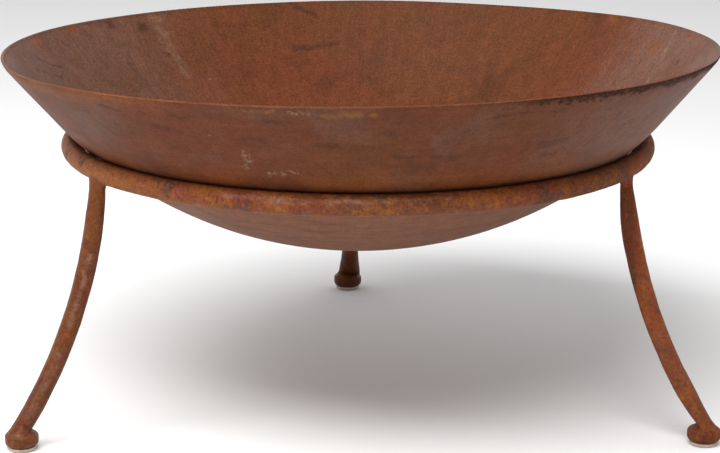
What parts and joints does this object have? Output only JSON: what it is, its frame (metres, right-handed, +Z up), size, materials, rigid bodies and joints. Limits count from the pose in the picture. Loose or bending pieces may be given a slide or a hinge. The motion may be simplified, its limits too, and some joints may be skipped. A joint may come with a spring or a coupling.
{
  "type": "coal forge",
  "caption": "Wide shallow steel fire bowl that lifts off a low ring stand with outward-curving round-bar legs on padded feet, used as an open coal hearth.",
  "frame": {"origin": "Centre of the object's plan outline, on the floor that it stands on. The stand's own axis is 2 mm to the -X side and 16 mm to the -Y side of it, because the rear foot reaches further out than the bowl's rim.", "axes": "+Z up. The rear leg points along +Y, and the other two legs stand 120 degrees from it, towards -X and +X. -Y is the side that is seen from the front."},
  "size_m": [0.7, 0.7392, 0.3579],
  "materials": {
    "bowl_rust": "fine even red-brown rust on spun steel sheet, matte, with mauve-grey worn patches",
    "bar_rust": "mottled orange-brown rust on forged bar, matte, burnished on the high spots",
    "weld_rust": "rusted weld bead, lumpy, matte",
    "foot_pad": "cream plastic glide, satin"
  },
  "bodies": {
    "stand": {"stand_ring": "bar_rust", "ring_closing_weld": "weld_rust", "leg_rear": "bar_rust", "ring_weld_rear": "weld_rust", "foot_weld_rear": "weld_rust", "foot_rear": "bar_rust", "foot_pad_rear": "foot_pad", "leg_left": "bar_rust", "ring_weld_left": "weld_rust", "foot_weld_left": "weld_rust", "foot_left": "bar_rust", "foot_pad_left": "foot_pad", "leg_right": "bar_rust", "ring_weld_right": "weld_rust", "foot_weld_right": "weld_rust", "foot_right": "bar_rust", "foot_pad_right": "foot_pad"},
    "bowl": {"fire_bowl": "bowl_rust"}
  },
  "joints": [
    {"name": "bowl_lift", "type": "slide", "parent": "stand", "child": "bowl", "axis": [0, 0, 1], "range_m": [0, 0.25]}
  ]
}
